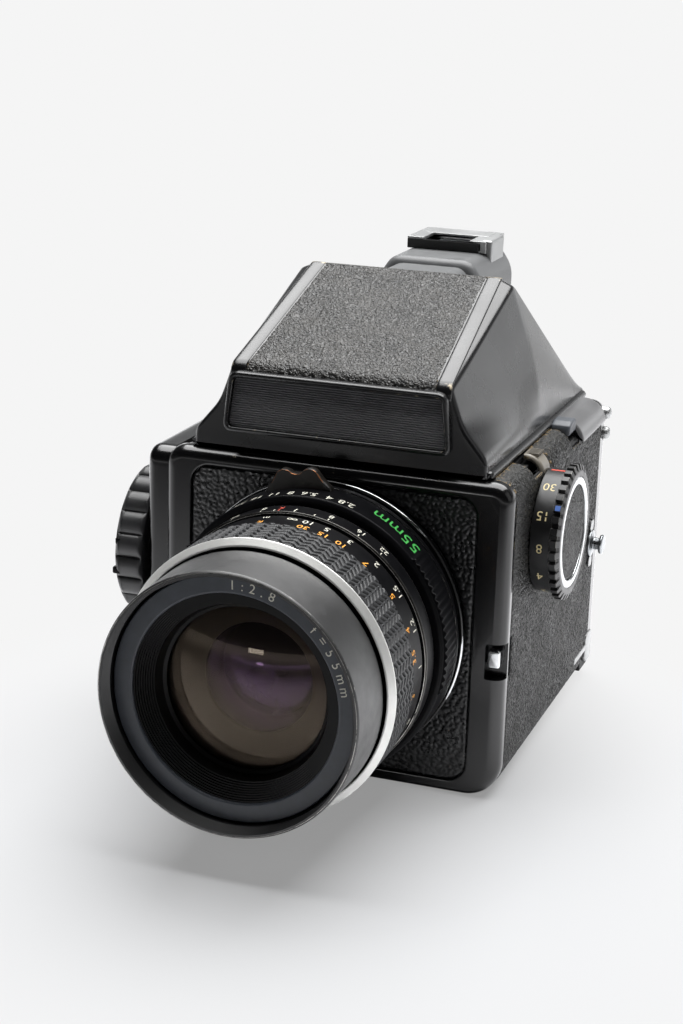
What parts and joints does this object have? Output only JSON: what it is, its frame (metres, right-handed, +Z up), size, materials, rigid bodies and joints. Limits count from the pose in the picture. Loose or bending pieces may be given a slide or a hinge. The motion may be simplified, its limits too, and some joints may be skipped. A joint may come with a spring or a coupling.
{
  "type": "medium format film camera",
  "caption": "Box-form medium format film camera with prism finder, wide lens, winding knob with folding crank, speed dial and hinged film back.",
  "frame": {"origin": "mouth of the tripod socket, in the flat base", "axes": "the lens looks along -Y, +Z is up, +X is to the right of someone facing the lens"},
  "size_m": [0.111, 0.1706, 0.1217],
  "materials": {
    "black_enamel": "semi-gloss black enamel",
    "leatherette": "fine pebbled leatherette",
    "cast_alloy": "black-painted casting",
    "gloss_plastic_black": "satin black moulding",
    "black_anodised": "satin black anodised",
    "steel": "turned",
    "chrome": "polished",
    "satin_alloy": "satin",
    "brass": "machined",
    "rubber": "moulded grip",
    "glass": "polished and coated",
    "mirror": "front-silvered",
    "cloth": "rubberised cloth",
    "film_paper": "backing paper",
    "grey_metal": "blue-grey enamel"
  },
  "bodies": {
    "body": {"front_frame": "black_enamel", "front_leatherette": "leatherette", "body_case": "cast_alloy", "side_leatherette": "leatherette", "winding_housing": "black_enamel", "winding_leatherette": "leatherette", "release_collar": "chrome", "strap_lug": "chrome", "lens_mount_ring": "chrome", "mirror_box": "cast_alloy", "focusing_screen": "glass", "film_gate": "steel", "shutter_curtain": "cloth", "film_insert": "black_anodised", "pressure_plate": "black_anodised", "door_hinge": "chrome", "base_plate": "black_enamel", "tripod_bush": "steel", "battery": "satin_alloy", "prism_housing": "black_enamel", "name_panel": "black_anodised", "finder_leatherette": "leatherette", "pentaprism": "glass", "eyepiece_frame": "black_anodised", "eyepiece_glass": "glass", "accessory_shoe": "chrome", "lens_core": "black_anodised", "depth_scale_ring": "black_anodised", "rear_glass": "glass", "iris": "black_anodised"},
    "knob": {"winding_knob": "gloss_plastic_black", "winding_shaft": "steel"},
    "crank": {"winding_crank": "black_anodised"},
    "idler": {"idler_gear": "brass"},
    "takeup": {"takeup_gear": "brass", "takeup_spool": "gloss_plastic_black"},
    "supply": {"film_roll": "film_paper"},
    "speed_dial": {"shutter_speed_dial": "black_anodised", "dial_trim_ring": "chrome", "dial_disc": "leatherette", "dial_shaft": "steel"},
    "mirror_lock": {"mirror_lock_lever": "satin_alloy"},
    "lens_catch": {"lens_release_button": "chrome"},
    "shutter_button": {"shutter_release_button": "chrome"},
    "finder_button": {"finder_release_button": "grey_metal"},
    "mirror": {"mirror_holder": "steel", "reflex_mirror": "mirror"},
    "roller_left": {"curtain_roller_left": "steel"},
    "roller_right": {"curtain_roller_right": "steel"},
    "door": {"back_door": "black_enamel"},
    "latch": {"door_latch": "chrome"},
    "battery_cap": {"battery_cover": "black_anodised"},
    "aperture": {"aperture_ring": "black_anodised", "aperture_claw": "black_enamel"},
    "focus": {"focus_ring": "black_anodised", "focus_grip": "rubber", "focus_front_ring": "satin_alloy"},
    "lens_front": {"front_barrel": "black_anodised", "name_ring": "black_anodised", "front_glass": "glass"}
  },
  "joints": [
    {"name": "winding_turn", "type": "hinge", "parent": "body", "child": "knob", "pos_m": [-0.047, -0.019, 0.048], "axis": [1, 0, 0], "continuous": true},
    {"name": "crank_fold", "type": "hinge", "parent": "knob", "child": "crank", "pos_m": [-0.0577, -0.008, 0.048], "axis": [0, 0, -1], "range_deg": [0, 90]},
    {"name": "idler_turn", "type": "hinge", "parent": "body", "child": "idler", "pos_m": [-0.047, 0.009, 0.04847], "axis": [1, 0, 0], "continuous": true},
    {"name": "takeup_turn", "type": "hinge", "parent": "body", "child": "takeup", "pos_m": [-0.047, 0.0355, 0.0575], "axis": [1, 0, 0], "continuous": true},
    {"name": "supply_turn", "type": "hinge", "parent": "body", "child": "supply", "pos_m": [0, 0.0355, 0.022], "axis": [1, 0, 0], "continuous": true},
    {"name": "speed_turn", "type": "hinge", "parent": "body", "child": "speed_dial", "pos_m": [0.047, -0.008, 0.0602], "axis": [1, 0, 0], "range_deg": [-60, 210]},
    {"name": "mirror_lock_slide", "type": "slide", "parent": "body", "child": "mirror_lock", "axis": [0, -1, 0], "range_m": [0, 0.007]},
    {"name": "lens_catch_press", "type": "slide", "parent": "body", "child": "lens_catch", "axis": [0, 1, 0], "range_m": [0, 0.0015], "stiffness_N_per_m": 300, "springref_m": -0.001},
    {"name": "shutter_press", "type": "slide", "parent": "body", "child": "shutter_button", "axis": [0, 1, 0], "range_m": [0, 0.0022], "stiffness_N_per_m": 300, "springref_m": -0.001},
    {"name": "finder_press", "type": "slide", "parent": "body", "child": "finder_button", "axis": [0, 0, -1], "range_m": [0, 0.0015], "stiffness_N_per_m": 300, "springref_m": -0.001},
    {"name": "mirror_swing", "type": "hinge", "parent": "body", "child": "mirror", "pos_m": [0, 0.0065, 0.0638], "axis": [-1, 0, 0], "range_deg": [0, 45], "stiffness_Nm_per_rad": 0.02, "springref_deg": -34.38},
    {"name": "roller_left_turn", "type": "hinge", "parent": "body", "child": "roller_left", "pos_m": [-0.0366, 0.0127, 0.0415], "axis": [0, 0, 1], "range_deg": [0, 1000]},
    {"name": "roller_right_turn", "type": "hinge", "parent": "body", "child": "roller_right", "pos_m": [0.0366, 0.0127, 0.0415], "axis": [0, 0, 1], "range_deg": [0, 1000]},
    {"name": "door_swing", "type": "hinge", "parent": "body", "child": "door", "pos_m": [0, 0.0546, 0.006], "axis": [-1, 0, 0], "range_deg": [0, 90]},
    {"name": "latch_press", "type": "slide", "parent": "door", "child": "latch", "axis": [-1, 0, 0], "range_m": [0, 0.0012], "stiffness_N_per_m": 300, "springref_m": -0.001},
    {"name": "battery_cap_turn", "type": "hinge", "parent": "body", "child": "battery_cap", "pos_m": [0, -0.022, 0.001], "axis": [0, 0, 1], "range_deg": [0, 60]},
    {"name": "aperture_turn", "type": "hinge", "parent": "body", "child": "aperture", "pos_m": [0, -0.05, 0.0415], "axis": [0, 1, 0], "range_deg": [-15, 30]},
    {"name": "focus_turn", "type": "hinge", "parent": "body", "child": "focus", "pos_m": [0, -0.075, 0.0415], "axis": [0, -1, 0], "range_deg": [0, 230]},
    {"name": "focus_travel", "type": "slide", "parent": "body", "child": "lens_front", "axis": [0, -1, 0], "range_m": [0, 0.0092]}
  ],
  "couplings": [
    {"joint": "idler_turn", "follows": "winding_turn", "ratio": -0.55556},
    {"joint": "takeup_turn", "follows": "winding_turn", "ratio": 1},
    {"joint": "supply_turn", "follows": "winding_turn", "ratio": 0.52},
    {"joint": "roller_right_turn", "follows": "roller_left_turn", "ratio": 1},
    {"joint": "focus_travel", "follows": "focus_turn", "m_per_rad": 0.00228}
  ]
}
